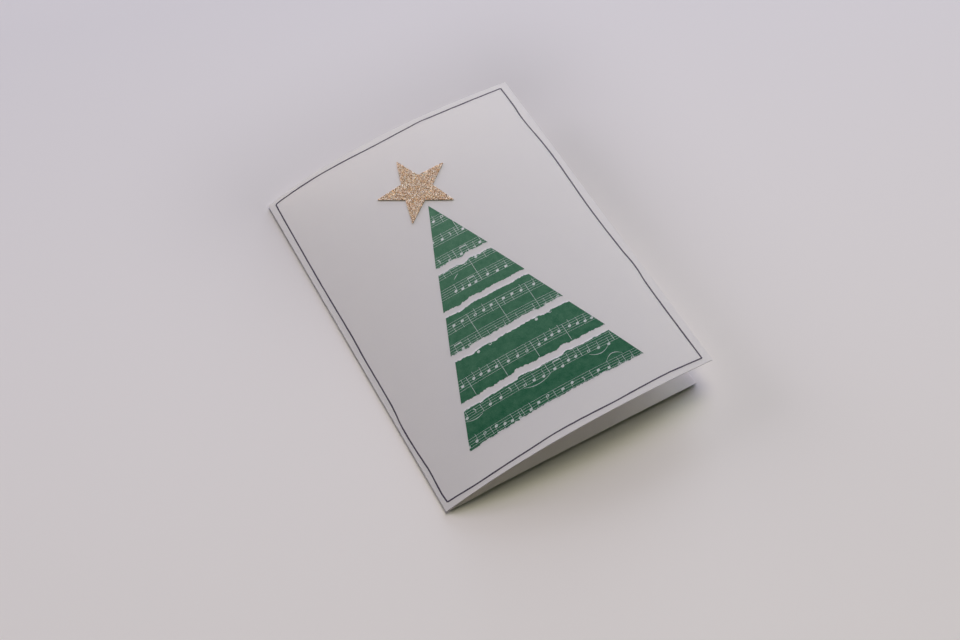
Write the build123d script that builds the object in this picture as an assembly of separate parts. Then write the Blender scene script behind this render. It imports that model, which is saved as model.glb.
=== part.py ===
from build123d import *
import math
import os
import random

# Handmade greeting card: a sheet folded once off centre, a tree of five torn
# strips of printed paper, a glitter star and a hand-drawn frame of ink.
# Millimetres. X runs from the fold to the free edges, Y along the fold, Z up.
# The back panel lies flat and the front panel bows up over it.
# "across" is measured over the bent front face from the fold, "up" along Y.

# Card sheet, an A5 sheet before its fold
sheet_length = 210.0
sheet_height = 148.0
sheet_thickness = 0.35
front_width = 108.5

# Fold, and the bow of the front panel from the fold to its free edge
fold_radius = 0.7
rise_angle = 23.5
bow_radius_at_fold = 148.0
bow_radius_in_middle = 232.0
bow_radius_at_edge = 349.0
bow_length_share = 1 / 3

# Tree of strips, torn across from one printed triangle and moved apart.
# Tree and star together fill the height between their two margins.
tree_base_width = 70.7
tree_apex_share = 0.487
tree_offset_from_middle = -1.55
tree_bottom_margin = 13.6
tree_paper_thickness = 0.1
tear_gap = 2.75
tear_swing = 0.8
tear_step = 0.8
tear_tooth = 0.12
torn_fringe = 0.25
glued_slip = 0.5

# Star, cut from glitter card
star_radius = 15.5
star_notch_share = 0.405
star_turn = 2.9
star_offset_from_middle = -1.75
star_above_tree = 9.25
star_top_margin = 14.95
star_thickness = 0.5
star_tip_radius = 0.2

# Frame drawn with a pen
pen_width = 0.55
pen_sway = 0.6
ink_thickness = 0.03
border_inset = 2.5

# The strips' heights from the top, the gaps between them, each strip's slip across as
# it was glued, then each tear as (share of its width, share of the swing). The strips
# that meet at a tear share its edge, because they were one.
strip_height_shares = (0.312, 0.173, 0.173, 0.179, 0.163)
gap_shares = (1.05, 0.87, 1.07, 1.0)
slip_shares = (0, -0.7, -1, -0.2, -0.8)
tear_shares = (
    ((0, 0), (0.18, -0.12), (0.25, 0.2), (0.36, 0), (0.41, -0.5), (0.46, -0.9), (0.52, -0.4),
     (0.56, 0.35), (0.71, 0.4), (0.78, -0.15), (0.88, 0.5), (1, 0.1)),
    ((0, 0), (0.11, -0.3), (0.15, -0.6), (0.17, -0.95), (0.2, -0.45), (0.27, -0.3), (0.3, 0.3),
     (0.35, 0.4), (0.44, 0.05), (0.52, 0), (0.61, 0.3), (0.76, -0.15), (0.82, 0.1), (0.94, 0.3),
     (1, 0.2)),
    ((0, 0), (0.08, -0.05), (0.12, -0.45), (0.15, -1), (0.18, 0.05), (0.31, -0.05), (0.34, -0.45),
     (0.38, 0), (0.56, 0), (0.62, 0.25), (0.69, 0.1), (0.74, 0.3), (0.78, -0.55), (0.82, -0.6),
     (0.845, 0.35), (0.88, 0), (0.97, 0.3), (1, 0.15)),
    ((0, 0), (0.07, -0.05), (0.12, -0.65), (0.15, -0.3), (0.19, -0.05), (0.22, -0.6), (0.27, -0.15),
     (0.365, -0.25), (0.375, 0.65), (0.41, 0.75), (0.44, 0.5), (0.47, 0.05), (0.61, 0.05),
     (0.66, -0.4), (0.69, 0.55), (0.715, 0.9), (0.74, 0.25), (0.82, 0.05), (0.885, 0.5),
     (0.92, 0.25), (0.95, 0.5), (1, 0.35)),
    ((0, -0.25), (0.03, -0.5), (0.1, -0.2), (0.17, -0.45), (0.3, -0.15), (0.42, 0.05), (0.48, 0.3),
     (0.51, -0.05), (0.54, 0.2), (0.68, 0.25), (0.71, -0.15), (0.77, 0.45), (0.79, 0), (0.9, 0),
     (0.93, 0.3), (0.96, 0), (1, 0.1)),
)

# The pen's wander on each side as (share of the side, share of the sway inward)
fold_side_shares = (
    (0.03, -0.7), (0.095, -0.2), (0.16, -0.95), (0.235, -1.1), (0.3, 0), (0.45, 0.05), (0.53, 0.45),
    (0.72, 0.2), (0.93, 0.65),
)
top_side_shares = (
    (0.03, -1.2), (0.17, -0.8), (0.3, 0.1), (0.44, 0.9), (0.575, 0.2), (0.64, -0.55), (0.71, -0.1),
    (0.86, 0),
)
free_side_shares = (
    (0.07, 1.35), (0.13, 1.85), (0.27, 0.25), (0.48, 1.35), (0.62, 0.8), (0.69, -0.1), (0.76, 0.85),
    (0.9, 0.95),
)
bottom_side_shares = (
    (0.09, 0.25), (0.155, 0.5), (0.29, -0.1), (0.36, -0.4), (0.56, 0.2), (0.69, -0.6), (0.83, -1),
    (0.9, -0.9), (0.96, -0.25),
)
border_corner_shares = ((-0.3, 0.2), (1, -0.8), (1.5, -0.3), (0.8, -0.3))

# Sizes that follow
back_width = sheet_length - front_width
front_reach = front_width - fold_radius
bow_radii = (bow_radius_at_fold, bow_radius_in_middle, bow_radius_at_edge)
rise = math.radians(rise_angle)
middle_across = front_width / 2
star_centre_up = sheet_height - star_top_margin - star_radius
tree_top = star_centre_up - star_above_tree
tree_height = tree_top - tree_bottom_margin - tear_gap * sum(gap_shares)
origin = Location((-(fold_radius + back_width) / 2, -sheet_height / 2, 0))


# The front panel's section, three tangent arcs at a lift above its outer face
def front_arcs(lift):
    radius_at_fold = fold_radius + lift
    start = (fold_radius - radius_at_fold * math.sin(rise), fold_radius + radius_at_fold * math.cos(rise))
    direction = (math.cos(rise), math.sin(rise))
    arcs = []
    for radius in bow_radii:
        turn = math.degrees(bow_length_share * front_reach / radius)
        arc = JernArc(start, direction, radius + lift, -turn)
        arcs.append(arc)
        start, direction = arc @ 1, arc % 1
    return arcs


# A closed section drawn in X and Z, drawn out along the fold
def drawn_along_fold(edges):
    return extrude(Plane.XZ * make_face(edges), -sheet_height)


def folded_card():
    outer = front_arcs(0)
    inner = front_arcs(-sheet_thickness)
    fold_centre = (fold_radius, fold_radius)
    outer_fold = CenterArc(fold_centre, fold_radius, 90 + rise_angle, 180 - rise_angle)
    inner_fold = CenterArc(fold_centre, fold_radius - sheet_thickness, 90 + rise_angle, 180 - rise_angle)
    free_edge = Line(outer[-1] @ 1, inner[-1] @ 1)
    back = Polyline(inner_fold @ 1, (back_width, sheet_thickness), (back_width, 0), outer_fold @ 1)
    return drawn_along_fold(outer + [free_edge] + inner + [inner_fold, outer_fold] + back.edges())


front_skin = Wire(front_arcs(0))


# A piece on the front: its flat outline laid on the bow, at one paper thickness
def piece_on_front(loops, thickness, corner_radius=0):
    outlines = []
    for loop in loops:
        points = [((front_skin @ ((across - fold_radius) / front_reach)).X, up) for across, up in loop]
        outlines.append(make_face(Polyline(*points, close=True)))
    face = outlines[0]
    for hole in outlines[1:]:
        face = face - hole
    if corner_radius:
        face = fillet(face.vertices(), corner_radius)
    lower, upper = front_arcs(0), front_arcs(thickness)
    ends = [Line(lower[0] @ 0, upper[0] @ 0), Line(lower[-1] @ 1, upper[-1] @ 1)]
    layer = drawn_along_fold(lower + upper + ends)
    return layer & extrude(face, front_width)


# One tear: points along it with its hand-set wander and small teeth between
def tear_line(index, left, right):
    teeth = random.Random(index)
    width = right - left
    count = max(2, round(width / tear_step))
    knots = tear_shares[index]
    line = []
    for step in range(count + 1):
        share = step / count
        before, after = [pair for pair in zip(knots, knots[1:]) if pair[0][0] <= share][-1]
        blend = (share - before[0]) / (after[0] - before[0])
        wander = before[1] + (after[1] - before[1]) * blend
        tooth = teeth.uniform(-tear_tooth, tear_tooth)
        line.append((left + share * width, wander * tear_swing + tooth))
    return line


# The strips, from the apex down: each hangs from the tear above it
def tree_strips():
    axis = middle_across + tree_offset_from_middle
    left_slope = tree_base_width * tree_apex_share / tree_height
    right_slope = tree_base_width * (1 - tree_apex_share) / tree_height
    top = tree_top
    depth = 0
    upper_edge = [(axis, 0)]
    strips = []
    for index, share in enumerate(strip_height_shares):
        depth += share * tree_height
        bottom = top - share * tree_height
        slip = slip_shares[index] * glued_slip
        lower_edge = tear_line(index, axis - left_slope * depth, axis + right_slope * depth)
        outline = [(across + slip, top + wander) for across, wander in upper_edge]
        fringe_line = bottom - torn_fringe
        outline += [(across + slip, fringe_line + wander) for across, wander in reversed(lower_edge)]
        strips.append(piece_on_front([outline], tree_paper_thickness))
        if index < len(gap_shares):
            top = bottom - tear_gap * gap_shares[index]
            upper_edge = [(across, wander + torn_fringe) for across, wander in lower_edge]
    return strips


def glitter_star():
    centre_across = middle_across + star_offset_from_middle
    outline = []
    for corner in range(10):
        angle = math.radians(90 + star_turn + 36 * corner)
        reach = star_radius * (star_notch_share if corner % 2 else 1)
        outline.append((centre_across + reach * math.cos(angle), star_centre_up + reach * math.sin(angle)))
    return piece_on_front([outline], star_thickness, star_tip_radius)


# The drawn frame's loop, set in from the sheet's edges, clockwise from the fold
def border_loop(inset):
    low, high, right = inset, sheet_height - inset, front_width - inset
    across, up = right - low, high - low
    bends = [(x * pen_sway, y * pen_sway) for x, y in border_corner_shares]
    loop = [(low + bends[0][0], low + bends[0][1])]
    loop += [(low + sway * pen_sway, low + share * up) for share, sway in fold_side_shares]
    loop += [(low + bends[1][0], high - bends[1][1])]
    loop += [(low + share * across, high - sway * pen_sway) for share, sway in top_side_shares]
    loop += [(right - bends[2][0], high - bends[2][1])]
    loop += [(right - sway * pen_sway, high - share * up) for share, sway in free_side_shares]
    loop += [(right - bends[3][0], low + bends[3][1])]
    loop += [(right - share * across, low + sway * pen_sway) for share, sway in bottom_side_shares]
    return loop


def ink_border():
    loops = [border_loop(border_inset - pen_width / 2), border_loop(border_inset + pen_width / 2)]
    return piece_on_front(loops, ink_thickness)


pieces = {"folded_card": folded_card(), "glitter_star": glitter_star(), "ink_border": ink_border()}
for number, strip in enumerate(tree_strips(), start=1):
    pieces[f"tree_strip_{number}"] = strip

os.makedirs("parts", exist_ok=True)
for name, piece in pieces.items():
    export_step(origin * piece, f"parts/{name}.step")
    print(name, len(piece.solids()), round(piece.volume, 2))
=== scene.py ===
import math
import random

import bpy
import numpy as np
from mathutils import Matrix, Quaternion, Vector, noise


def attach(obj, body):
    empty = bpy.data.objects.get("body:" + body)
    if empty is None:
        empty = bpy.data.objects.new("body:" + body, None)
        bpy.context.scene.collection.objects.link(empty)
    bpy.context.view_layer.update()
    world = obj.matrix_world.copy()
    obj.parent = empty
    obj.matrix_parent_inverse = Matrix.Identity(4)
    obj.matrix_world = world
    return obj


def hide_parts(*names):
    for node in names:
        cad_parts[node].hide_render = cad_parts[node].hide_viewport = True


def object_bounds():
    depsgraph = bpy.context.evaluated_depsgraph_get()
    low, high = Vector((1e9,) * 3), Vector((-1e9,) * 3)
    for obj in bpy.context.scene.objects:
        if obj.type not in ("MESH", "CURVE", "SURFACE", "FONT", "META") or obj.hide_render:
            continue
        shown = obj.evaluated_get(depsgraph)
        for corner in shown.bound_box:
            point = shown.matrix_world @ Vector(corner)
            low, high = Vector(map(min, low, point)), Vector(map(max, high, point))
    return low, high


# A handmade greeting card, lying on its back panel on a pale table. Metres.
# "across" runs over the bent front face from the fold, "up" along the fold.

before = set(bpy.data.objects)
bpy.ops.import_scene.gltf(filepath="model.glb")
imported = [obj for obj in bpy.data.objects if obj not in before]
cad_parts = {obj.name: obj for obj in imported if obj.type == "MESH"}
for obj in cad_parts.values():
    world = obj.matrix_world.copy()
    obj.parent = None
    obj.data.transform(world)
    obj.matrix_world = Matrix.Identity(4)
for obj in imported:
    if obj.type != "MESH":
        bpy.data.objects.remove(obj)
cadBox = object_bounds()
foldX = cadBox[0].x
nearY = cadBox[0].y
print("frame loaded")


class Socket:                                        # lets shader maths be written as sums
    def __init__(self, web, end):
        self.web = web
        self.end = end

    def maths(self, operation, *values):
        return self.web.add("ShaderNodeMath", {"operation": operation}, dict(enumerate(values)))

    def __add__(self, other):
        return self.maths("ADD", self, other)

    def __radd__(self, other):
        return self.maths("ADD", other, self)

    def __sub__(self, other):
        return self.maths("SUBTRACT", self, other)

    def __rsub__(self, other):
        return self.maths("SUBTRACT", other, self)

    def __mul__(self, other):
        return self.maths("MULTIPLY", self, other)

    def __truediv__(self, other):
        return self.maths("DIVIDE", self, other)

    def clamped(self):
        return self.web.add("ShaderNodeMath", {"operation": "ADD", "use_clamp": True}, {0: self, 1: 0})

    def other(self, name):                           # another output of the same node
        return Socket(self.web, self.end.node.outputs[name])


class Web:                                           # adds nodes to a shader or geometry tree
    def __init__(self, tree):
        self.tree = tree

    def add(self, kind, settings=None, inputs=None, output=0):
        node = self.tree.nodes.new(kind)
        for name, value in (settings or {}).items():
            if name == "stops":
                for index, (place, colour) in enumerate(value):
                    stops = node.color_ramp.elements
                    stop = stops[index] if index < 2 else stops.new(place)
                    stop.position = place
                    stop.color = (*colour, 1)
            else:
                setattr(node, name, value)
        for key, value in (inputs or {}).items():
            if isinstance(value, Socket):
                self.tree.links.new(value.end, node.inputs[key])
            else:
                node.inputs[key].default_value = value
        return Socket(self, node.outputs[output]) if node.outputs else None

    def vector(self, operation, *values, output=0):
        return self.add("ShaderNodeVectorMath", {"operation": operation}, dict(enumerate(values)), output)

    def mix(self, factor, first, second):
        inputs = {0: factor, 6: first, 7: second}
        return self.add("ShaderNodeMix", {"data_type": "RGBA"}, inputs, 2)

    def noise(self, place, scale, detail=2, roughness=0.5):
        inputs = {"Vector": place, "Scale": scale, "Detail": detail, "Roughness": roughness}
        return self.add("ShaderNodeTexNoise", None, inputs)


def newMaterial(name):
    material = bpy.data.materials.new(name)
    material.use_nodes = True
    material.node_tree.nodes.clear()
    return material, Web(material.node_tree)


def finishMaterial(web, inputs, lightThrough=0, throughColour=None):
    shader = web.add("ShaderNodeBsdfPrincipled", None, inputs)
    if lightThrough:
        through = web.add("ShaderNodeBsdfTranslucent", None, {"Color": throughColour})
        shader = web.add("ShaderNodeMixShader", None, {0: lightThrough, 1: shader, 2: through})
    web.add("ShaderNodeOutputMaterial", None, {"Surface": shader})


def rgba(red, green, blue):
    return (red, green, blue, 1)


# Card sheet

card = {
    "height": cadBox[1].y - cadBox[0].y,
    "frontWidth": 0.1085,
    "backWidth": 0.1015,
    "thickness": 0.00035,
    "foldRadius": 0.0007,
    "riseDegrees": 23.5,                             # how steeply the front leaves the fold
    "bowRadii": (0.148, 0.232, 0.349),               # three equal stretches from the fold
    "rippleHeight": 0.00007,
    "rippleSize": 0.045,
    "rippleStart": 0.02,                             # it grows over this way from the fold
    "rippleSeed": 0.3,
    "backSteps": 70,
    "foldSteps": 16,
    "frontSteps": 180,
    "upSteps": 96,
    "edgeRounding": 0.00006,
    "foldCurl": 0.0006,                              # the back panel's edges stand a little off the table
    "nearCurl": 0.001,
    "farCurl": 0.0004,
    "foldCurlReach": 0.006,
    "curlReach": 0.014,
    "curlStart": (0.004, 0.02),                      # near and far curl set in over this way from the fold
    "curlLoss": 0.25,                                # and lose this share towards the free edge
    "curlLossFrom": 0.08,
    "glueLift": 0.000002,                            # how far above the card a glued piece begins
    "lightThrough": 0.4,
    "throughColour": rgba(0.92, 0.91, 0.80),
    "paper": rgba(0.87, 0.86, 0.88),
    "paperShade": rgba(0.83, 0.82, 0.84),
    # the back panel's paper is painted brighter and warmer than the front's: painted light inside the fold
    "backPaper": rgba(0.97, 0.92, 0.87),
    "backPaperShade": rgba(0.94, 0.89, 0.84),
    "cutEdge": rgba(0.82, 0.81, 0.79),
    "cutEdgeShade": rgba(0.68, 0.67, 0.66),
}


def bowPoint(across, lift=0.0):                      # x and z of the front face, without ripple
    rise = math.radians(card["riseDegrees"])
    run = np.maximum(np.asarray(across, float) - card["foldRadius"], 0)
    stretch = (card["frontWidth"] - card["foldRadius"]) / len(card["bowRadii"])
    angle = np.full_like(run, rise)
    x = np.full_like(run, card["foldRadius"] * (1 - math.sin(rise)))
    z = np.full_like(run, card["foldRadius"] * (1 + math.cos(rise)))
    for index, radius in enumerate(card["bowRadii"]):
        last = index == len(card["bowRadii"]) - 1
        part = run if last else np.minimum(run, stretch)
        turned = angle - part / radius
        x = x + radius * (np.sin(angle) - np.sin(turned))
        z = z + radius * (np.cos(turned) - np.cos(angle))
        angle = turned
        run = run - part
    return x - lift * np.sin(angle), z + lift * np.cos(angle)


def ripple(across, up):                              # the sheet is never quite even
    fade = min(1, across / card["rippleStart"])
    place = Vector((across, up, card["rippleSeed"])) / card["rippleSize"]
    return card["rippleHeight"] * fade * noise.noise(place)


def onFront(across, up, lift=0.0):
    x, z = bowPoint(across, lift + ripple(across, up))
    return Vector((foldX + float(x), nearY + up, float(z)))


def makeMesh(name, points, faces, material, extraMaterials=()):
    mesh = bpy.data.meshes.new(name)
    mesh.from_pydata(points, [], faces)
    mesh.validate()
    for item in (material, *extraMaterials):
        mesh.materials.append(item)
    shape = bpy.data.objects.new(name, mesh)
    bpy.context.scene.collection.objects.link(shape)
    return shape


def smoothShade(shape, sharpDegrees=40):
    shape.data.polygons.foreach_set("use_smooth", [True] * len(shape.data.polygons))
    shape.data.set_sharp_from_angle(angle=math.radians(sharpDegrees))


def applyModifiers(shape):                           # the shape as its modifiers leave it
    graph = bpy.context.evaluated_depsgraph_get()
    mesh = bpy.data.meshes.new_from_object(shape.evaluated_get(graph))
    shape.modifiers.clear()
    shape.data = mesh


def placeOnCard(shape, node):                  # every piece rides on the one body
    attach(shape, "root")
    if node:
        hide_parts(node)


def paperMaterial(name, paintedShadow, paper, lightThrough):
    material, web = newMaterial(name)
    place = web.add("ShaderNodeTexCoord", None, None, "Object")
    cloud = web.noise(place, scale=160, detail=3)
    fleck = web.noise(place, scale=2200)
    tone = (cloud * 0.6 + fleck * 0.4).clamped()
    colour = web.mix(tone, paintedShadow, paper)
    height = cloud * 0.4 + web.noise(place, scale=3000, detail=3) * 0.6
    bump = web.add("ShaderNodeBump", None, {"Strength": 0.12, "Distance": 0.00005, "Height": height})
    finishMaterial(web, {"Base Color": colour, "Roughness": 0.72 + fleck * 0.16, "Normal": bump,
                         "Specular IOR Level": 0.35}, lightThrough, card["throughColour"])
    return material


def cutEdgeMaterial():
    material, web = newMaterial("cutEdge")
    place = web.add("ShaderNodeTexCoord", None, None, "Object")
    fibre = web.noise(place, scale=5000, detail=3)
    colour = web.mix(fibre, card["cutEdgeShade"], card["cutEdge"])
    bump = web.add("ShaderNodeBump", None, {"Strength": 0.3, "Distance": 0.00004, "Height": fibre})
    finishMaterial(web, {"Base Color": colour, "Roughness": 0.9, "Normal": bump})
    return material


def foldArcPoint(angle, radius):
    reach = card["foldRadius"]
    return reach + radius * math.cos(angle), reach + radius * math.sin(angle)


# The sheet's outer and inner points, from the back panel's free edge to the front's. Each holds x, z, its
# share of the turn round the fold and 0, or on the bow its lift, 0, its way across and 1
def sheetSection():
    thick, reach = card["thickness"], card["foldRadius"]
    outer, inner = [], []
    for step in range(card["backSteps"]):
        x = card["backWidth"] + (reach - card["backWidth"]) * step / card["backSteps"]
        outer.append((x, 0.0, 0.0, 0))
        inner.append((x, thick, 0.0, 0))
    start, stop = math.radians(270), math.radians(90 + card["riseDegrees"])
    for step in range(card["foldSteps"]):
        angle = start + (stop - start) * step / card["foldSteps"]
        turned = step / card["foldSteps"]
        outer.append((*foldArcPoint(angle, reach), turned, 0))
        inner.append((*foldArcPoint(angle, reach - thick), turned, 0))
    for step in range(card["frontSteps"] + 1):
        across = reach + (card["frontWidth"] - reach) * step / card["frontSteps"]
        outer.append((0.0, 0.0, across, 1))
        inner.append((-thick, 0.0, across, 1))
    return outer, inner


def eased(value, start, end):
    share = min(1, max(0, (value - start) / (end - start)))
    return share * share * (3 - 2 * share)


def curl(x, up, turned):                             # turned goes from 0 to 1 round the fold
    away = max(0, x - card["foldRadius"]) if turned == 0 else 0
    atFold = card["foldCurl"] * math.exp(-away / card["foldCurlReach"]) * (1 - turned)
    loss = card["curlLoss"] * eased(x, card["curlLossFrom"], card["backWidth"])
    span = eased(x, *card["curlStart"]) * (1 - loss)
    near = card["nearCurl"] * math.exp(-up / card["curlReach"])
    far = card["farCurl"] * math.exp((up - card["height"]) / card["curlReach"])
    return max(atFold, span * (near + far) * (turned == 0))


def sectionPoint(entry, up):
    first, second, along, onBow = entry
    if onBow:
        return onFront(along, up, first)
    return Vector((foldX + first, nearY + up, second + curl(first, up, along)))


def makeFoldedCard(front, cutEdge, back):            # three finishes
    outer, inner = sheetSection()
    rows = card["upSteps"] + 1
    count = len(outer)
    points = []
    for side in (outer, inner):
        for entry in side:
            for row in range(rows):
                points.append(sectionPoint(entry, card["height"] * row / card["upSteps"]))
    faces = []
    edgeFaces, backFaces = set(), set()

    def at(side, column, row):
        return (side * count + column) * rows + row

    for column in range(count - 1):
        for row in range(rows - 1):
            if column < card["backSteps"]:
                backFaces.update((len(faces), len(faces) + 1))
            side, above = column + 1, row + 1
            faces.append([at(0, column, row), at(0, column, above), at(0, side, above), at(0, side, row)])
            faces.append([at(1, column, row), at(1, side, row), at(1, side, above), at(1, column, above)])
        for row in (0, rows - 1):
            edgeFaces.add(len(faces))
            quad = [at(0, column, row), at(0, column + 1, row), at(1, column + 1, row), at(1, column, row)]
            faces.append(quad if row == 0 else quad[::-1])
    for row in range(rows - 1):
        for column in (0, count - 1):
            edgeFaces.add(len(faces))
            quad = [at(0, column, row), at(1, column, row), at(1, column, row + 1), at(0, column, row + 1)]
            faces.append(quad if column == 0 else quad[::-1])
    shape = makeMesh("foldedCard", points, faces, front, [cutEdge, back])
    for slot, group in ((1, edgeFaces), (2, backFaces)):
        for index in group:
            shape.data.polygons[index].material_index = slot
    smoothShade(shape)
    bevel = shape.modifiers.new("edgeRounding", "BEVEL")
    bevel.width = card["edgeRounding"]
    bevel.segments = 2
    bevel.limit_method = "ANGLE"
    bevel.angle_limit = math.radians(50)
    bevel.harden_normals = True
    applyModifiers(shape)
    placeOnCard(shape, "folded_card")
    print("folded card made,", len(shape.data.polygons), "faces")


# Ink border

pen = {
    "inset": 0.0025,
    "width": 0.00052,
    "widthChange": 0.00009,
    "changeSize": 0.006,
    "sway": 0.0006,
    "tremble": 0.00005,
    "trembleRate": 2.3,                              # its waves to each wave of the width
    "lift": 0.000012,
    "thickness": 0.00001,
    "step": 0.0008,
    "ink": rgba(0.023, 0.017, 0.034),
    "inkPale": rgba(0.075, 0.058, 0.096),
    # the corners' shifts in sways, then each side's knots: share of its length, drift in sways
    "corners": ((-0.3, 0.2), (1, -0.8), (1.5, -0.3), (0.8, -0.3)),
    "foldSide": ((0.03, -0.7), (0.095, -0.2), (0.16, -0.95), (0.235, -1.1), (0.3, 0), (0.45, 0.05),
                 (0.53, 0.45), (0.72, 0.2), (0.93, 0.65)),
    "topSide": ((0.03, -1.2), (0.17, -0.8), (0.3, 0.1), (0.44, 0.9), (0.575, 0.2), (0.64, -0.55),
                (0.71, -0.1), (0.86, 0)),
    "freeSide": ((0.07, 1.35), (0.13, 1.85), (0.27, 0.25), (0.48, 1.35), (0.62, 0.8), (0.69, -0.1),
                 (0.76, 0.85), (0.9, 0.95)),
    "bottomSide": ((0.09, 0.25), (0.155, 0.5), (0.29, -0.1), (0.36, -0.4), (0.56, 0.2), (0.69, -0.6),
                   (0.83, -1), (0.9, -0.9), (0.96, -0.25)),
}


def penSides():                                      # the four sides' knots, clockwise from the fold
    low = pen["inset"]
    high = card["height"] - low
    right = card["frontWidth"] - low
    sway = pen["sway"]
    turns = [(x * sway, y * sway) for x, y in pen["corners"]]
    corners = [(low + turns[0][0], low + turns[0][1]), (low + turns[1][0], high - turns[1][1]),
               (right - turns[2][0], high - turns[2][1]), (right - turns[3][0], low + turns[3][1])]
    fold = [(low + drift * sway, low + share * (high - low)) for share, drift in pen["foldSide"]]
    top = [(low + share * (right - low), high - drift * sway) for share, drift in pen["topSide"]]
    free = [(right - drift * sway, high - share * (high - low)) for share, drift in pen["freeSide"]]
    bottom = [(right - share * (right - low), low + drift * sway) for share, drift in pen["bottomSide"]]
    sides = []
    for index, knots in enumerate((fold, top, free, bottom)):
        sides.append([corners[index], *knots, corners[(index + 1) % 4]])
    return sides


def smoothLine(knots, step):                         # an even curve through the knots
    points = [Vector(knot) for knot in knots]
    points = [points[0] * 2 - points[1], *points, points[-1] * 2 - points[-2]]
    line = []
    for before, start, end, after in zip(points, points[1:], points[2:], points[3:]):
        count = max(1, round((end - start).length / step))
        for index in range(count):
            t = index / count
            pull = (end - before) * t + (2 * before - 5 * start + 4 * end - after) * t * t
            line.append(start + (pull + (3 * (start - end) + after - before) * t * t * t) / 2)
    return line + [points[-2]]


def makeInkBorder():
    material, web = newMaterial("penInk")
    place = web.add("ShaderNodeTexCoord", None, None, "Object")
    density = web.noise(place, scale=900, detail=3)
    patch = web.noise(place, scale=90)
    thin = (density * 0.8 + patch * 0.6 - 0.35).clamped()
    colour = web.mix(thin, pen["ink"], pen["inkPale"])
    finishMaterial(web, {"Base Color": colour, "Roughness": 0.55 + density * 0.2})
    points, faces = [], []
    for side, knots in enumerate(penSides()):
        line = smoothLine(knots, pen["step"])
        start = len(points)
        for index, spot in enumerate(line):
            along = (line[min(index + 1, len(line) - 1)] - line[max(index - 1, 0)]).normalized()
            aside = Vector((-along.y, along.x))
            seed = Vector((spot.x, spot.y, side * 0.1)) / pen["changeSize"]
            half = (pen["width"] + pen["widthChange"] * noise.noise(seed)) / 2
            centre = spot + aside * pen["tremble"] * noise.noise(seed * pen["trembleRate"])
            top = pen["lift"] + pen["thickness"] * (1 + side)  # each stroke over the one before
            for share in (-1, 1):
                edge = centre + aside * half * share
                points.append(onFront(edge.x, edge.y, pen["lift"]))
                points.append(onFront(edge.x, edge.y, top))
        for index in range(len(line) - 1):
            a = start + index * 4
            b = a + 4
            faces += [[a + 1, a + 3, b + 3, b + 1], [a, b, b + 2, a + 2],
                      [a, a + 1, b + 1, b], [a + 2, b + 2, b + 3, a + 3]]
        last = start + (len(line) - 1) * 4
        faces += [[start, start + 2, start + 3, start + 1], [last, last + 1, last + 3, last + 2]]
    shape = makeMesh("inkBorder", points, faces, material)
    placeOnCard(shape, "ink_border")
    print("ink border drawn,", len(faces), "faces")


# Tree of torn strips of printed paper

tree = {
    "baseWidth": 0.0707,
    "apexShare": 0.487,
    "axis": 0.0527,
    "top": 0.1083,
    "bottomMargin": 0.0136,
    "gap": 0.00275,
    "swing": 0.0008,
    "step": 0.0008,
    "tooth": 0.00012,
    "fringe": 0.00025,
    "heightShares": (0.312, 0.173, 0.173, 0.179, 0.163),
    "gapShares": (1.05, 0.87, 1.07, 1.0),
    "slips": (0, -0.00035, -0.0005, -0.0001, -0.0004),  # each strip's slip across as it was glued
    "tears": (                                       # share of the width, share of the swing
        ((0, 0), (0.18, -0.12), (0.25, 0.2), (0.36, 0), (0.41, -0.5), (0.46, -0.9), (0.52, -0.4),
         (0.56, 0.35), (0.71, 0.4), (0.78, -0.15), (0.88, 0.5), (1, 0.1)),
        ((0, 0), (0.11, -0.3), (0.15, -0.6), (0.17, -0.95), (0.2, -0.45), (0.27, -0.3), (0.3, 0.3),
         (0.35, 0.4), (0.44, 0.05), (0.52, 0), (0.61, 0.3), (0.76, -0.15), (0.82, 0.1), (0.94, 0.3),
         (1, 0.2)),
        ((0, 0), (0.08, -0.05), (0.12, -0.45), (0.15, -1), (0.18, 0.05), (0.31, -0.05), (0.34, -0.45),
         (0.38, 0), (0.56, 0), (0.62, 0.25), (0.69, 0.1), (0.74, 0.3), (0.78, -0.55), (0.82, -0.6),
         (0.845, 0.35), (0.88, 0), (0.97, 0.3), (1, 0.15)),
        ((0, 0), (0.07, -0.05), (0.12, -0.65), (0.15, -0.3), (0.19, -0.05), (0.22, -0.6), (0.27, -0.15),
         (0.365, -0.25), (0.375, 0.65), (0.41, 0.75), (0.44, 0.5), (0.47, 0.05), (0.61, 0.05),
         (0.66, -0.4), (0.69, 0.55), (0.715, 0.9), (0.74, 0.25), (0.82, 0.05), (0.885, 0.5),
         (0.92, 0.25), (0.95, 0.5), (1, 0.35)),
        ((0, -0.25), (0.03, -0.5), (0.1, -0.2), (0.17, -0.45), (0.3, -0.15), (0.42, 0.05), (0.48, 0.3),
         (0.51, -0.05), (0.54, 0.2), (0.68, 0.25), (0.71, -0.15), (0.77, 0.45), (0.79, 0), (0.9, 0),
         (0.93, 0.3), (0.96, 0), (1, 0.1)),
    ),
    "thickness": 0.0001,
    "fuzz": 0.0001,
    "fuzzSize": 0.0007,
    "fineFuzz": 0.4,                                 # share of its finer waves
    "fineFuzzRate": 2.6,
    "columnStep": 0.00018,
    "edgeDepths": (0, 0.00007, 0.00014, 0.00022, 0.00032, 0.00046, 0.0007, 0.001),
    "middleRows": 12,
    "thinReach": 0.0005,
    "thinShare": 0.35,
    "fringeChange": 0.0007,
    "inkEdge": 0.00006,                              # the way over which the print begins
    "sheenFrom": -0.06,                               # painted sheen: the print is lighter from here, the foot of the tree
    "sheenRun": 0.09,
    "green": rgba(0.002, 0.08, 0.034),
    "greenPale": rgba(0.1, 0.222, 0.136),
    "core": rgba(0.75, 0.735, 0.74),
}


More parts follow.
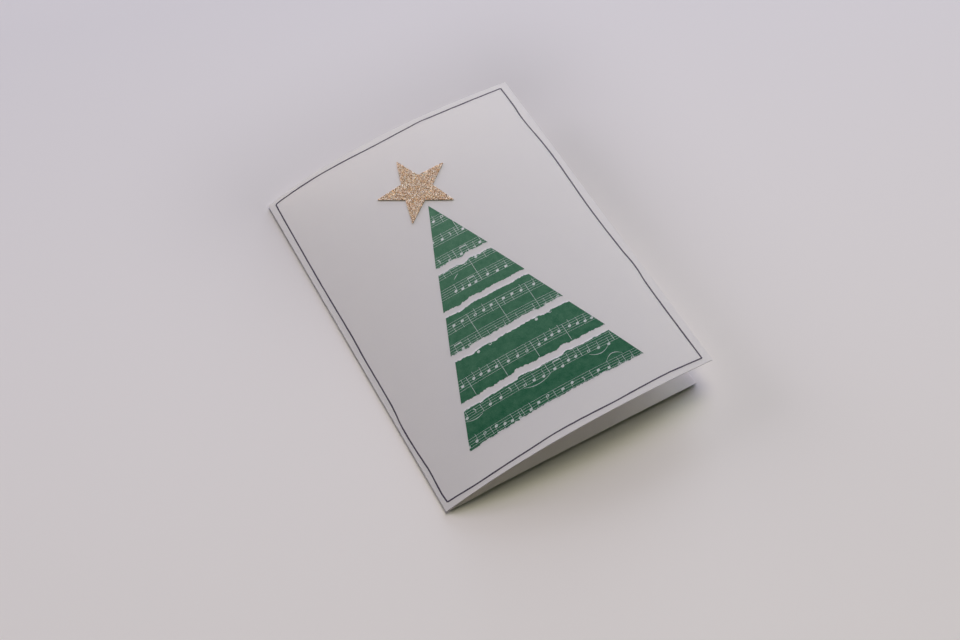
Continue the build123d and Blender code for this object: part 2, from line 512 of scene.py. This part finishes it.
def tearLine(index, left, right):                    # one tear: its wander and small teeth
    teeth = random.Random(index)
    count = max(2, round((right - left) / tree["step"]))
    shares, wander = zip(*tree["tears"][index])
    line = []
    for step in range(count + 1):
        share = step / count
        tooth = teeth.uniform(-tree["tooth"], tree["tooth"])
        up = float(np.interp(share, shares, wander)) * tree["swing"] + tooth
        line.append((left + share * (right - left), up))
    return line


class Strip:                                         # between the tear above it and the one below
    def __init__(self, number, lower, upper):
        self.number = number
        self.lower = np.array(lower)
        self.upper = np.array(upper)

    def fuzz(self, across, side):                    # waves of its own for each edge
        place = Vector((across / tree["fuzzSize"], self.number * 7.3, side * 5.1))
        fine = tree["fineFuzz"] * noise.noise(place * tree["fineFuzzRate"])
        return tree["fuzz"] * (noise.noise(place) + fine)

    def lowAt(self, across):
        return float(np.interp(across, self.lower[:, 0], self.lower[:, 1])) + self.fuzz(across, 0)

    def highAt(self, across):
        if self.number == 1:
            return float(self.upper[0, 1])
        return float(np.interp(across, self.upper[:, 0], self.upper[:, 1])) + self.fuzz(across, 1)

    def column(self, share):                         # the spots where one column meets both edges
        ends = []
        for line, at in ((self.lower, self.lowAt), (self.upper, self.highAt)):
            across = line[0, 0] + (line[-1, 0] - line[0, 0]) * share
            ends.append(Vector((across, at(across))))
        return ends

    def fromTear(self, across, up):                  # the top strip is torn only at its foot
        above = math.inf if self.number == 1 else self.highAt(across) - up
        return max(0, min(up - self.lowAt(across), above))

    def liftAt(self, distance):                      # torn paper thins out towards its tear
        thin = tree["thinShare"]
        return tree["thickness"] * min(1, thin + (1 - thin) * distance / tree["thinReach"])


def tornStrips():
    gaps = tree["gapShares"]
    height = tree["top"] - tree["bottomMargin"] - tree["gap"] * sum(gaps)
    leftSlope = tree["baseWidth"] * tree["apexShare"] / height
    rightSlope = tree["baseWidth"] * (1 - tree["apexShare"]) / height
    top = tree["top"]
    depth = 0
    upper = [(tree["axis"], 0)]
    strips = []
    for index, share in enumerate(tree["heightShares"]):
        depth += share * height
        bottom = top - share * height
        tear = tearLine(index, tree["axis"] - leftSlope * depth, tree["axis"] + rightSlope * depth)
        slip = tree["slips"][index]
        lower = [(across + slip, bottom - tree["fringe"] + wander) for across, wander in tear]
        strips.append(Strip(index + 1, lower, [(across + slip, top + wander) for across, wander in upper]))
        if index < len(gaps):
            top = bottom - tree["gap"] * gaps[index]
            upper = [(across, wander + tree["fringe"]) for across, wander in tear]
    return strips


def sheenUpTree(web, place):                            # 0 to 1 up the tree, for the painted sheen on the print
    up = web.add("ShaderNodeSeparateXYZ", None, {0: place}, 1)
    return ((up - tree["sheenFrom"]) / tree["sheenRun"]).clamped()


def printedMaterial():
    material, web = newMaterial("printedPaper")
    place = web.add("ShaderNodeTexCoord", None, None, "Object")
    fromTear = web.add("ShaderNodeAttribute", {"attribute_name": "fromTear"}, None, "Fac")
    ragged = (web.noise(place, scale=700, detail=3) - 0.5) * tree["fringeChange"] * 1.4
    fine = (web.noise(place, scale=3500) - 0.5) * tree["fringeChange"] * 0.6
    inked = ((fromTear - tree["fringe"] + ragged + fine) / tree["inkEdge"]).clamped()
    clouds = web.noise(place, scale=420, detail=4, roughness=0.6)
    specks = web.noise(place, scale=2600)
    mottle = (clouds * 0.9 + specks * 0.6 - 0.25).clamped()
    # random mottle of the print, plus painted sheen lighter towards the top
    tone = (mottle * 0.8 + sheenUpTree(web, place) * 0.5 - 0.15).clamped()
    green = web.mix(tone, tree["green"], tree["greenPale"])
    colour = web.mix(inked, tree["core"], green)
    height = web.noise(place, scale=2600, detail=3)
    bump = web.add("ShaderNodeBump", None, {"Strength": 0.2, "Distance": 0.00004, "Height": height})
    finishMaterial(web, {"Base Color": colour, "Roughness": 0.66 + mottle * 0.2, "Normal": bump,
                         "Specular IOR Level": 0.1})
    return material


def makeStrip(outline, material):
    columns = round((outline.lower[-1, 0] - outline.lower[0, 0]) / tree["columnStep"])
    edge = tree["edgeDepths"]
    steps = tree["middleRows"] + 1
    rowCount = len(edge) * 2 + tree["middleRows"]
    spots = []
    for column in range(columns + 1):
        low, high = outline.column(column / columns)
        length = (high - low).length
        levels = [depth / length for depth in edge]
        middle = [edge[-1] / length + (1 - 2 * edge[-1] / length) * step / steps for step in range(1, steps)]
        levels += middle + [1 - level for level in reversed(levels)]
        spots += [low.lerp(high, level) for level in levels]
    tears = [outline.fromTear(*spot) for spot in spots]
    points = [onFront(*spot, outline.liftAt(tear)) for spot, tear in zip(spots, tears)]
    points += [onFront(*spot, card["glueLift"]) for spot in spots]
    faces = []

    def at(layer, column, row):
        return (layer * (columns + 1) + column) * rowCount + row

    for column in range(columns):
        side = column + 1
        for row in range(rowCount - 1):
            above = row + 1
            faces.append([at(0, column, row), at(0, side, row), at(0, side, above), at(0, column, above)])
            faces.append([at(1, column, row), at(1, column, above), at(1, side, above), at(1, side, row)])
        top = rowCount - 1
        faces.append([at(0, column, 0), at(1, column, 0), at(1, side, 0), at(0, side, 0)])
        faces.append([at(0, column, top), at(0, side, top), at(1, side, top), at(1, column, top)])
    last = columns
    for row in range(rowCount - 1):
        above = row + 1
        faces.append([at(0, 0, row), at(0, 0, above), at(1, 0, above), at(1, 0, row)])
        faces.append([at(0, last, row), at(1, last, row), at(1, last, above), at(0, last, above)])
    shape = makeMesh(f"treeStrip{outline.number}", points, faces, material)
    layer = shape.data.attributes.new("fromTear", "FLOAT", "POINT")
    layer.data.foreach_set("value", tears * 2)
    smoothShade(shape)
    placeOnCard(shape, f"tree_strip_{outline.number}")


# Printed notation, an arrangement of its own with no tune behind it. Millimetres:
# middle line, bar lines, how far these run on below, the notes' usual height in steps

staffs = {
    1: ((100.9, (57.3,), 6.6, -1), (92.7, (56.1,), 0, 1), (84.2, (51.0,), 0, -1)),
    2: ((78.9, (54.3,), 6.0, 1), (70.9, (54.3,), 0, -1)),
    3: ((57.6, (42.5, 54.3, 66.6), 8.2, 2), (49.6, (42.5, 54.3, 66.6), 0, -3)),
    4: ((35.9, (30.2, 43.1, 56.3, 69.4), 6.6, -2),),
    5: ((25.1, (29.4, 43.6, 56.1, 69.2, 82.4), 0, -4), (15.0, (28.2, 40.6, 53.5, 68.1, 81.4), 0, 0)),
}
slurs = {                                            # from, to, and how far the middle bows up
    2: ((45.6, 74.6, 48.1, 76.1, 0.1),),
    5: ((22.4, 23.1, 28.8, 22.8, -0.7), (45.3, 22.9, 56.4, 23.1, -1.4), (71.6, 22.4, 79.5, 22.6, -1.6),
        (75.5, 17.2, 82.0, 17.4, 1.7)),
}
looseHeads = {                                       # left from a staff that was torn off
    4: ((38.9, 44.0), (44.0, 44.5), (62.8, 44.3), (68.6, 44.6)),
}
notation = {
    "lineGap": 0.95,
    "lineWidth": 0.09,
    "stemWidth": 0.1,
    "barWidth": 0.14,
    "headLength": 1.3,
    "headWidth": 1.0,
    "headTurn": 24,
    "headCorners": 14,
    "hollowRim": 0.4,                                # of a hollow head, as a share of its radius
    "beamWidth": 0.32,
    "stemLength": 2.7,
    "stemSide": 0.43,                                # from the head's middle, as a share of its length
    "stemTurn": 0.2,                                 # stems go down from here above the middle line
    "slurWidth": 0.22,
    "slurEnds": 0.2,                                 # shares of that width
    "slurSwell": 1.2,
    "slurSteps": 16,
    "rest": ((-0.3, 0.9), (0.25, 0.1), (-0.2, -0.8)),
    "restWidths": (0.3, 0.2),
    "measureWidth": 12.6,
    "measureEnd": 0.4,                               # room after a measure's last note, in notes
    "firstNote": 0.75,
    "noteSpread": (0.92, 1.05),
    "stray": 2,                                      # in steps, from the usual height
    "measures": ("qqqq", "qqe", "eqq", "hqq", "qqh", "qqq", "qqr", "qrq"),
    "lift": 0.000006,
    "white": rgba(0.69, 0.71, 0.70),
    # faintLow to faint: painted sheen, the lines lighter towards the top of the tree
    "faint": rgba(0.46, 0.52, 0.48),
    "faintLow": rgba(0.27, 0.37, 0.31),
    "seed": 12,
}


def cutBySide(corners, start, end):                  # keeps what lies to the left of start to end
    kept = []
    run = end - start
    sides = [run.cross(corner - start) for corner in corners]
    for index, corner in enumerate(corners):
        before, sideBefore, side = corners[index - 1], sides[index - 1], sides[index]
        if (side >= 0) != (sideBefore >= 0):
            kept.append(before.lerp(corner, sideBefore / (sideBefore - side)))
        if side >= 0:
            kept.append(corner)
    return kept


class PrintSheet:                                    # flat shapes in millimetres, kept on one strip
    def __init__(self, outline):
        self.outline = outline
        self.points = []
        self.faces = []
        self.lowLeft, self.highLeft = outline.column(0)
        self.lowRight, self.highRight = outline.column(1)

    def shape(self, corners):
        corners = [Vector(corner) / 1000 for corner in corners]
        corners = cutBySide(corners, self.highLeft, self.lowLeft)
        if corners:
            corners = cutBySide(corners, self.lowRight, self.highRight)
        if len(corners) < 3:
            return
        spots = []
        for corner in corners:
            low, high = self.outline.lowAt(corner.x), self.outline.highAt(corner.x)
            spots.append(Vector((corner.x, min(high, max(low, corner.y)))))
        moved = [(spot - corner).length > 1e-9 for spot, corner in zip(spots, corners)]
        if all(moved):                               # no corner lies on the strip
            return
        first = len(self.points)
        for spot in spots:
            lift = self.outline.liftAt(self.outline.fromTear(*spot))
            self.points.append(onFront(*spot, lift + notation["lift"]))
        self.faces.append(list(range(first, first + len(spots))))

    def line(self, start, end, width, step=0.7):
        start, end = Vector(start), Vector(end)
        aside = (end - start).normalized().orthogonal() * width / 2
        count = max(1, round((end - start).length / step))
        for index in range(count):
            near, far = start.lerp(end, index / count), start.lerp(end, (index + 1) / count)
            self.shape([near - aside, far - aside, far + aside, near + aside])

    def slur(self, x, y, endX, endY, bow):           # thick in its middle
        last = None
        for index in range(notation["slurSteps"] + 1):
            share = index / notation["slurSteps"]
            place = (x + (endX - x) * share, y + (endY - y) * share + bow * 4 * share * (1 - share))
            swell = notation["slurSwell"] * share * (1 - share)
            half = notation["slurWidth"] * (notation["slurEnds"] + swell)
            if last:
                self.shape([(last[0], last[1] - last[2]), (place[0], place[1] - half),
                            (place[0], place[1] + half), (last[0], last[1] + last[2])])
            last = (*place, half)

    def head(self, x, y, hollow=False):
        turn = math.radians(notation["headTurn"])
        rim = []
        for corner in range(notation["headCorners"]):
            angle = 2 * math.pi * corner / notation["headCorners"]
            spot = Vector((notation["headLength"] / 2 * math.cos(angle),
                           notation["headWidth"] / 2 * math.sin(angle)))
            rim.append(Vector((x, y)) + Vector((spot.x * math.cos(turn) - spot.y * math.sin(turn),
                                                spot.x * math.sin(turn) + spot.y * math.cos(turn))))
        if not hollow:
            self.shape(rim)
            return
        middle, inwards = Vector((x, y)), notation["hollowRim"]
        for index, corner in enumerate(rim):
            before = rim[index - 1]
            self.shape([before, corner, corner.lerp(middle, inwards), before.lerp(middle, inwards)])

    def notes(self, places, kind, middle):           # heads, their stems and a beam
        average = sum(y for _, y in places) / len(places)
        sign = 1 if average < middle + notation["stemTurn"] else -1
        side = sign * notation["headLength"] * notation["stemSide"]
        reach = sign * notation["stemLength"]
        tip = (max if sign > 0 else min)(y for _, y in places) + reach
        for x, y in places:
            self.head(x, y, kind == "h")
            self.line((x + side, y), (x + side, tip if kind == "e" else y + reach), notation["stemWidth"])
        if kind == "e":
            self.line((places[0][0] + side, tip), (places[-1][0] + side, tip), notation["beamWidth"])

    def rest(self, x, middle):
        spots = [(x + across, middle + up) for across, up in notation["rest"]]
        for start, end, width in zip(spots, spots[1:], notation["restWidths"]):
            self.line(start, end, width)


def writeStaff(sheet, staff, dice):
    middle, bars, runOn, home = staff
    gap = notation["lineGap"]
    left = min(sheet.lowLeft.x, sheet.highLeft.x) * 1000
    right = max(sheet.lowRight.x, sheet.highRight.x) * 1000
    for line in range(-2, 3):
        sheet.line((left, middle + line * gap), (right, middle + line * gap), notation["lineWidth"])
    for bar in bars:
        sheet.line((bar, middle + 2 * gap), (bar, middle - 2 * gap - runOn), notation["barWidth"])
    edges = [bars[0] - notation["measureWidth"], *bars, bars[-1] + notation["measureWidth"]]
    step = home
    for start, end in zip(edges, edges[1:]):
        measure = dice.choice(notation["measures"])
        count = sum(2 if kind == "e" else 1 for kind in measure)
        width = (end - start) / (count + notation["measureEnd"])
        x = start + width * notation["firstNote"]
        trend = dice.choice((-1, 1))
        for kind in measure:
            places = []
            for _ in range(2 if kind == "e" else 1):
                step += trend * dice.choice((0, 1, 1, 2)) - dice.choice((0, 0, 1)) * trend
                if abs(step - home) > notation["stray"]:
                    trend = -trend
                    step = home + (notation["stray"] if step > home else -notation["stray"])
                places.append((x, middle + step * gap / 2))
                x += width * dice.uniform(*notation["noteSpread"])
            if kind == "r":
                sheet.rest(places[0][0], middle)
            else:
                sheet.notes(places, kind, middle)


def notationMaterial():
    material, web = newMaterial("unprintedLines")
    place = web.add("ShaderNodeTexCoord", None, None, "Object")
    worn = (web.noise(place, scale=1500, detail=3) * 2.2 - 0.5).clamped()
    # painted sheen: lines lighter and whiter towards the top of the tree
    sheen = sheenUpTree(web, place)
    faint = web.mix(sheen, notation["faintLow"], notation["faint"])
    colour = web.mix(worn * (sheen * 0.3 + 0.7), faint, notation["white"])
    finishMaterial(web, {"Base Color": colour, "Roughness": 0.7 + worn * 0.1})
    return material


def makeNotation(outline, material):
    sheet = PrintSheet(outline)
    dice = random.Random(notation["seed"] + outline.number)
    for staff in staffs[outline.number]:
        writeStaff(sheet, staff, dice)
    for slur in slurs.get(outline.number, ()):
        sheet.slur(*slur)
    for head in looseHeads.get(outline.number, ()):
        sheet.head(*head)
    shape = makeMesh(f"notation{outline.number}", sheet.points, sheet.faces, material)
    for face in shape.data.polygons:                 # print lies face up, whichever way it was drawn
        if face.normal.z < 0:
            face.flip()
    placeOnCard(shape, None)


# Glitter star

star = {
    "across": 0.0525,
    "up": 0.11755,
    "radius": 0.0155,
    "notchShare": 0.405,
    "turn": 2.9,
    "tipRadius": 0.0002,
    "tipCut": 2,                                     # where a tip's rounding begins, in tip radii
    "notchCut": 0.8,
    "cutBow": 0.18,
    "thickness": 0.0004,
    "armSteps": 14,
    "rings": 10,
    "flakes": 9500,
    "flakeRadius": 0.00018,
    "flakeSizes": (0.6, 1.25),                       # shares of that radius
    "flakeTilt": 0.65,
    "flakeRise": 0.00006,
    "topFacing": 0.5,                                # faces that look up more than this take flakes
    "seed": 5,
    "flakeDark": rgba(0.3, 0.155, 0.07),
    "flakeGold": rgba(0.96, 0.62, 0.31),
    "flakePale": rgba(1.0, 0.96, 0.83),
    "ground": rgba(0.69, 0.455, 0.255),
}


def starRim():
    corners = []
    for corner in range(10):
        angle = math.radians(90 + star["turn"] + 36 * corner)
        reach = star["radius"] * (star["notchShare"] if corner % 2 else 1)
        corners.append(Vector((star["across"] + reach * math.cos(angle),
                               star["up"] + reach * math.sin(angle))))
    rim = []
    for index, corner in enumerate(corners):
        before = (corners[index - 1] - corner).normalized()
        after = (corners[(index + 1) % 10] - corner).normalized()
        cut = star["tipRadius"] * (star["tipCut"] if index % 2 == 0 else star["notchCut"])
        bowed = corner + (before + after) * cut * star["cutBow"]
        rim += [corner + before * cut, bowed, corner + after * cut]
        end = corners[(index + 1) % 10] - after * star["tipRadius"] * star["notchCut"]
        start = rim[-1]
        rim += [start.lerp(end, step / star["armSteps"]) for step in range(1, star["armSteps"] - 1)]
    return rim


def makeStarBase(material):
    rim = starRim()
    middle = Vector((star["across"], star["up"]))
    lifts = (star["thickness"], card["glueLift"])
    points = [onFront(*middle, lift) for lift in lifts]
    for lift in lifts:
        for ring in range(1, star["rings"] + 1):
            for spot in rim:
                points.append(onFront(*middle.lerp(spot, ring / star["rings"]), lift))
    count = len(rim)
    faces = []

    def at(layer, ring, index):
        return 2 + (layer * star["rings"] + ring) * count + index % count

    for index in range(count):
        faces.append([0, at(0, 0, index), at(0, 0, index + 1)])
        faces.append([1, at(1, 0, index + 1), at(1, 0, index)])
        for ring in range(star["rings"] - 1):
            outer, side = ring + 1, index + 1
            faces.append([at(0, ring, index), at(0, outer, index), at(0, outer, side), at(0, ring, side)])
            faces.append([at(1, ring, index), at(1, ring, side), at(1, outer, side), at(1, outer, index)])
        edge = star["rings"] - 1
        faces.append([at(0, edge, index), at(1, edge, index), at(1, edge, index + 1), at(0, edge, index + 1)])
    shape = makeMesh("glitterStar", points, faces, material)
    smoothShade(shape)
    return shape


def groundMaterial():
    material, web = newMaterial("glitterGround")
    place = web.add("ShaderNodeTexCoord", None, None, "Object")
    grain = web.noise(place, scale=4200, detail=3)
    colour = web.mix(grain, star["flakeDark"], star["ground"])
    finishMaterial(web, {"Base Color": colour, "Roughness": 0.6 + grain * 0.2, "Metallic": 0.2})
    return material


def flakeMaterial():
    material, web = newMaterial("glitterFlake")
    tone = web.add("ShaderNodeAttribute", {"attribute_name": "flakeTone"}, None, "Fac")
    stops = [(0.15, star["flakeDark"][:3]), (0.45, star["flakeGold"][:3]), (0.8, star["flakePale"][:3])]
    colour = web.add("ShaderNodeValToRGB", {"stops": stops}, {0: tone})
    finishMaterial(web, {"Base Color": colour, "Metallic": 0.25, "Roughness": 0.35 + tone * 0.2})
    return material


def makeFlakes(base, material):                      # scattered on the star's top face
    group = bpy.data.node_groups.new("glitterScatter", "GeometryNodeTree")
    face = group.interface
    face.new_socket("Geometry", in_out="INPUT", socket_type="NodeSocketGeometry")
    sizes = {}
    for label, kind in (("Density", "NodeSocketFloat"), ("Flake Radius", "NodeSocketFloat"),
                        ("Tilt", "NodeSocketFloat"), ("Seed", "NodeSocketInt")):
        sizes[label] = face.new_socket(label, in_out="INPUT", socket_type=kind).identifier
    face.new_socket("Geometry", in_out="OUTPUT", socket_type="NodeSocketGeometry")
    web = Web(group)
    entry = web.add("NodeGroupInput")
    given = {label: entry.other(label) for label in ("Geometry", *sizes)}
    seed, tilt = given["Seed"], given["Tilt"]

    def chance(low, high, draw):                     # another number for each flake
        inputs = {2: low, 3: high, "Seed": seed + draw}
        return web.add("FunctionNodeRandomValue", {"data_type": "FLOAT"}, inputs, 1)

    lifted = web.add("ShaderNodeSeparateXYZ", None, {0: web.add("GeometryNodeInputNormal")}, "Z")
    isTop = web.add("FunctionNodeCompare", {"data_type": "FLOAT", "operation": "GREATER_THAN"},
                    {0: lifted, 1: star["topFacing"]})
    scatter = web.add("GeometryNodeDistributePointsOnFaces", None,
                      {"Mesh": given["Geometry"], "Selection": isTop, "Density": given["Density"],
                       "Seed": seed})
    flake = web.add("GeometryNodeMeshCircle", {"fill_type": "NGON"},
                    {"Vertices": 6, "Radius": given["Flake Radius"]})
    low = web.add("ShaderNodeCombineXYZ", None, {0: 0 - tilt, 1: 0 - tilt, 2: -math.pi})
    high = web.add("ShaderNodeCombineXYZ", None, {0: tilt, 1: tilt, 2: math.pi})
    lean = web.add("FunctionNodeRandomValue", {"data_type": "FLOAT_VECTOR"},
                   {0: low, 1: high, "Seed": seed})
    turn = web.add("FunctionNodeRotateEuler", {"space": "LOCAL"},
                   {0: scatter.other("Rotation"), "Rotate By": lean})
    place = web.add("GeometryNodeInstanceOnPoints", None,
                    {"Points": scatter, "Instance": flake, "Rotation": turn,
                     "Scale": chance(*star["flakeSizes"], 1)})
    toned = web.add("GeometryNodeStoreNamedAttribute", {"data_type": "FLOAT", "domain": "INSTANCE"},
                    {"Geometry": place, "Name": "flakeTone", "Value": chance(0, 1, 2)})
    upward = web.add("ShaderNodeVectorMath", {"operation": "SCALE"},
                     {0: (0, 0, 1), "Scale": chance(0, star["flakeRise"], 3)})
    moved = web.add("GeometryNodeTranslateInstances", None, {"Instances": toned, "Translation": upward})
    real = web.add("GeometryNodeRealizeInstances", None, {"Geometry": moved})
    done = web.add("GeometryNodeSetMaterial", None, {"Geometry": real, "Material": material})
    web.add("NodeGroupOutput", None, {"Geometry": done})
    shape = bpy.data.objects.new("glitterFlakes", base.data.copy())
    bpy.context.scene.collection.objects.link(shape)
    modifier = shape.modifiers.new("scatter", "NODES")
    modifier.node_group = group
    top = sum(polygon.area for polygon in base.data.polygons if polygon.normal.z > star["topFacing"])
    modifier[sizes["Density"]] = star["flakes"] / top
    modifier[sizes["Flake Radius"]] = star["flakeRadius"]
    modifier[sizes["Tilt"]] = star["flakeTilt"]
    modifier[sizes["Seed"]] = star["seed"]
    applyModifiers(shape)
    placeOnCard(shape, None)
    print("glitter laid,", len(shape.data.polygons), "flakes")


# Table, light and camera

studio = {
    "floorRadius": 0.6,
    "floorSides": 120,
    "floorDrop": 0.00002,
    # the table is painted darker towards the far side, a painted shade that evens out the lamps' stronger
    # light there
    "floorFar": rgba(0.65, 0.635, 0.635),
    "floorNear": rgba(0.895, 0.865, 0.81),
    "floorRun": (0.051, 0.162),                      # the way from near to far over the table
    "paintedShadow": 0.26,                                   # painted shadow: a faint darkening of the table beyond the card
    "paintedShadowReach": 0.075,
    "paintedShadowSide": (0.42, 0.9075),                     # where it is strongest, from the card's middle
    "backdrop": rgba(0.60, 0.575, 0.60),
    "lampDistance": 1.5,
    "lampSize": 0.75,
    "lamps": (                                       # turn from +Y towards +X, height, watts by colour
        (40, 15, (10.7, 11.8, 14.7)),
        (40, 50, (6.7, 6.0, 8.5)),
        (40, 70, (7.9, 7.6, 6.0)),
        (120, 65, (0.7, 0.8, 0.55)),
        (320, 15, (10.4, 9.8, 11.5)),
    ),
    "eye": (-0.12123, -0.24225, 0.42049),
    "aim": (-0.00535, -0.01487, 0.005),
    "roll": -2.15,
    "lens": 50.0,
}


def makeFloor():
    material, web = newMaterial("paleTable")
    place = web.add("ShaderNodeTexCoord", None, None, "Object")
    # painted shade: darker from near to far, against the lamps' stronger light on the far side
    run = studio["floorRun"]
    length = sum(part * part for part in run)
    spread = web.vector("DOT_PRODUCT", place, (*(part / length for part in run), 0), output=1)
    colour = web.mix((spread * 0.5 + 0.5).clamped(), studio["floorNear"], studio["floorFar"])
    # painted shadow: the table darkens near the card's far and free sides
    low, high = ((*corner.xy, 0) for corner in cadBox)
    nearest = web.vector("MINIMUM", web.vector("MAXIMUM", place, low), high)
    away = web.vector("DISTANCE", place, nearest, output=1)
    fade = (1 - away / studio["paintedShadowReach"]).clamped()
    heading = web.vector("NORMALIZE", place)
    facing = web.vector("DOT_PRODUCT", heading, (*studio["paintedShadowSide"], 0), output=1) * 0.5 + 0.5
    paintedShadow = fade * fade * facing * facing * studio["paintedShadow"]
    finishMaterial(web, {"Base Color": web.mix(paintedShadow, colour, rgba(0, 0, 0)), "Roughness": 0.85})
    radius, sides = studio["floorRadius"], studio["floorSides"]
    turns = [math.tau * side / sides for side in range(sides)]
    rim = [(radius * math.cos(turn), radius * math.sin(turn), -studio["floorDrop"]) for turn in turns]
    floor = makeMesh("table", rim, [range(sides)], material)


def makeLight():
    world = bpy.data.worlds.new("room")
    bpy.context.scene.world = world
    world.use_nodes = True
    world.node_tree.nodes.clear()
    web = Web(world.node_tree)
    seen = web.add("ShaderNodeLightPath", None, None, "Is Camera Ray")
    backdrop = web.add("ShaderNodeBackground", None, {"Color": studio["backdrop"], "Strength": seen})
    web.add("ShaderNodeOutputWorld", None, {"Surface": backdrop})
    for turn, height, watts in studio["lamps"]:
        turn, height = math.radians(turn), math.radians(height)
        level = math.cos(height)
        away = Vector((math.sin(turn) * level, math.cos(turn) * level, math.sin(height)))
        lamp = bpy.data.lights.new("softLight", "AREA")
        lamp.size = studio["lampSize"]
        lamp.energy = max(watts)
        lamp.color = [watt / max(watts) for watt in watts]
        shown = bpy.data.objects.new("softLight", lamp)
        shown.location = away * studio["lampDistance"]
        shown.rotation_mode = "QUATERNION"
        shown.rotation_quaternion = (-away).to_track_quat("-Z", "Y")
        shown.visible_camera = False
        bpy.context.scene.collection.objects.link(shown)


def makeCamera():
    camera = bpy.data.objects.new("camera", bpy.data.cameras.new("camera"))
    camera.data.lens = studio["lens"]
    camera.data.sensor_width = 36
    camera.data.clip_start = 0.01
    eye, aim = Vector(studio["eye"]), Vector(studio["aim"])
    camera.location = eye
    camera.rotation_mode = "QUATERNION"
    roll = Quaternion((0, 0, 1), math.radians(studio["roll"]))
    camera.rotation_quaternion = (aim - eye).to_track_quat("-Z", "Y") @ roll
    bpy.context.scene.collection.objects.link(camera)
    bpy.context.scene.camera = camera


makeCamera()
makeFloor()
makeLight()
bpy.context.scene.view_settings.view_transform = "Standard"
print("camera, table and light set")

# No light shows through the back panel, which lies on the table
frontPaper = paperMaterial("whiteCard", card["paperShade"], card["paper"], card["lightThrough"])
# its paper is painted brighter and warmer, painted light for the inside of the fold
backPaper = paperMaterial("whiteCardBack", card["backPaperShade"], card["backPaper"], 0)
makeFoldedCard(frontPaper, cutEdgeMaterial(), backPaper)
makeInkBorder()

printed = printedMaterial()
unprinted = notationMaterial()
for outline in tornStrips():
    makeStrip(outline, printed)
    makeNotation(outline, unprinted)
print("strips and their print made")

starBase = makeStarBase(groundMaterial())
makeFlakes(starBase, flakeMaterial())
placeOnCard(starBase, "glitter_star")
